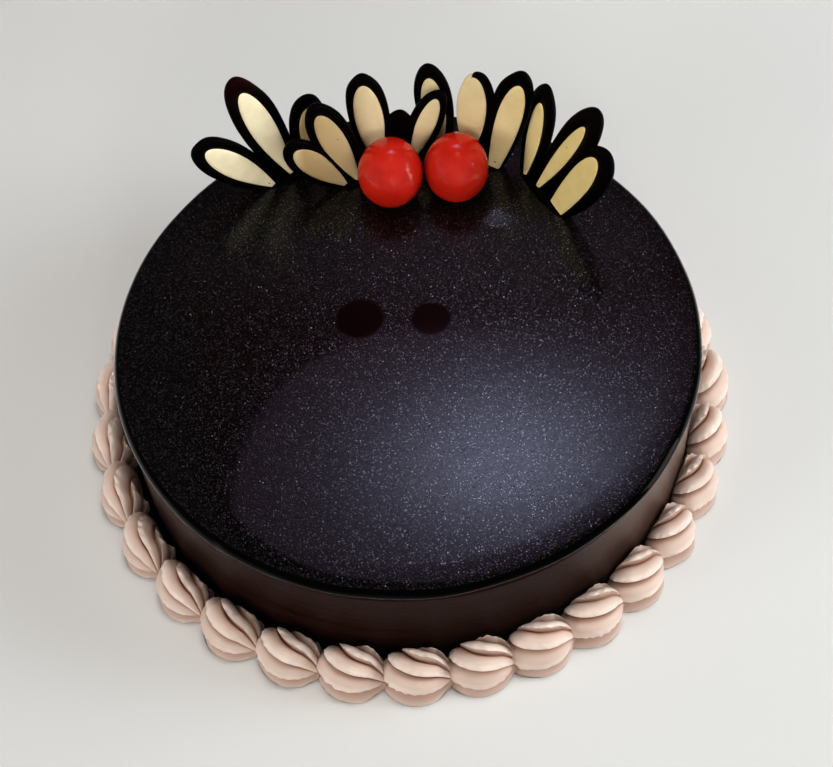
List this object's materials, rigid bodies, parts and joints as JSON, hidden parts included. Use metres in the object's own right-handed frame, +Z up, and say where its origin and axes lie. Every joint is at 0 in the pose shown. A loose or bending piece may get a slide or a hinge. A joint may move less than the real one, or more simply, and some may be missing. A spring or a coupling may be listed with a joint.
{
  "type": "chocolate truffle cake",
  "caption": "Round uncut chocolate cake with a dark glazed top, a piped cream shell border round its foot, and a back garnish of glossy cherries and chocolate petals.",
  "frame": {"origin": "centre of the cake's flat underside", "axes": "+Z up, +Y towards the garnish at the back, +X to the right seen from the front"},
  "size_m": [0.2293, 0.2285, 0.1021],
  "materials": {
    "cake_side": "satin brown ganache side",
    "glaze": "glossy near-black glaze with fine glitter",
    "cream": "soft satin cream",
    "cherry": "glossy syrup-coated",
    "dark_chocolate": "satin dark chocolate",
    "white_chocolate": "satin white chocolate"
  },
  "bodies": {
    "root": {"cake_body": "cake_side", "cherry_left": "cherry", "cherry_right": "cherry", "cream_shell_01": "cream", "cream_shell_02": "cream", "cream_shell_03": "cream", "cream_shell_04": "cream", "cream_shell_05": "cream", "cream_shell_06": "cream", "cream_shell_07": "cream", "cream_shell_08": "cream", "cream_shell_09": "cream", "cream_shell_10": "cream", "cream_shell_11": "cream", "cream_shell_12": "cream", "cream_shell_13": "cream", "cream_shell_14": "cream", "cream_shell_15": "cream", "cream_shell_16": "cream", "cream_shell_17": "cream", "cream_shell_18": "cream", "cream_shell_19": "cream", "cream_shell_20": "cream", "cream_shell_21": "cream", "cream_shell_22": "cream", "cream_shell_23": "cream", "cream_shell_24": "cream", "cream_shell_25": "cream", "cream_shell_26": "cream", "cream_shell_27": "cream", "cream_shell_28": "cream", "cream_shell_29": "cream", "cream_shell_30": "cream", "cream_shell_31": "cream", "petal_fan_back_right": "dark_chocolate", "petal_fan_front_left": "dark_chocolate", "petal_fan_left": "dark_chocolate", "petal_fan_middle": "dark_chocolate", "petal_fan_right": "dark_chocolate", "petal_fill_back_right_1": "white_chocolate", "petal_fill_back_right_2": "white_chocolate", "petal_fill_back_right_3": "white_chocolate", "petal_fill_front_left_1": "white_chocolate", "petal_fill_front_left_2": "white_chocolate", "petal_fill_left_1": "white_chocolate", "petal_fill_left_2": "white_chocolate", "petal_fill_left_3": "white_chocolate", "petal_fill_middle_1": "white_chocolate", "petal_fill_middle_2": "white_chocolate", "petal_fill_right_1": "white_chocolate", "petal_fill_right_2": "white_chocolate", "petal_fill_right_3": "white_chocolate", "truffle_glaze": "glaze"}
  },
  "joints": []
}
